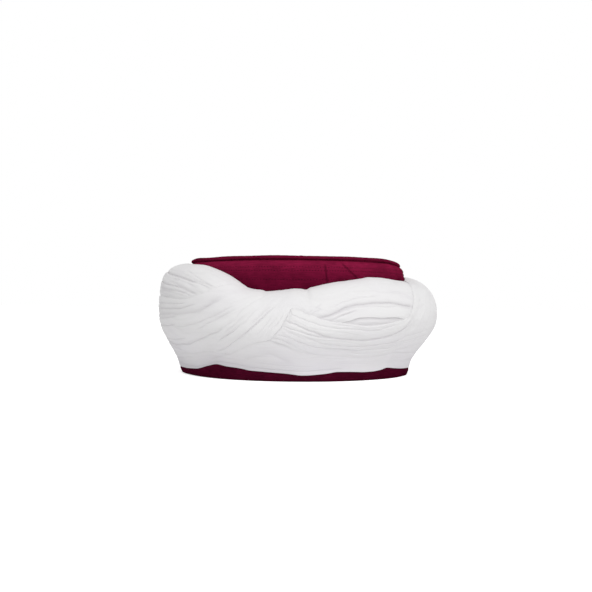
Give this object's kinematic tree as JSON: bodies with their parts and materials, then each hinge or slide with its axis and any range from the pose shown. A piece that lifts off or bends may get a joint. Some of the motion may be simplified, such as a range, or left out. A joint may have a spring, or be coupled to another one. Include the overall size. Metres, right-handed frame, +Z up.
{
  "type": "wrapped turban",
  "caption": "Ready-wound turban: pleated white cotton turns crossed at the front over a maroon cap with a flat crown.",
  "frame": {"origin": "middle of the whole turban's footprint, on the surface that the cap's rim stands on", "axes": "+Z up through the crown, -Y to the front where the turns cross, +X to the wearer's left"},
  "size_m": [0.2149, 0.2287, 0.0859],
  "materials": {
    "maroon_cotton": "matt woven cotton",
    "white_voile": "matt fine plain weave"
  },
  "bodies": {
    "root": {"cap_side_band": "maroon_cotton", "cap_crown": "maroon_cotton", "crown_piping": "maroon_cotton", "wrap_inner_turns": "white_voile", "wrap_lower_turn": "white_voile", "wrap_sweep_turn": "white_voile", "wrap_fan_turn": "white_voile"}
  },
  "joints": []
}
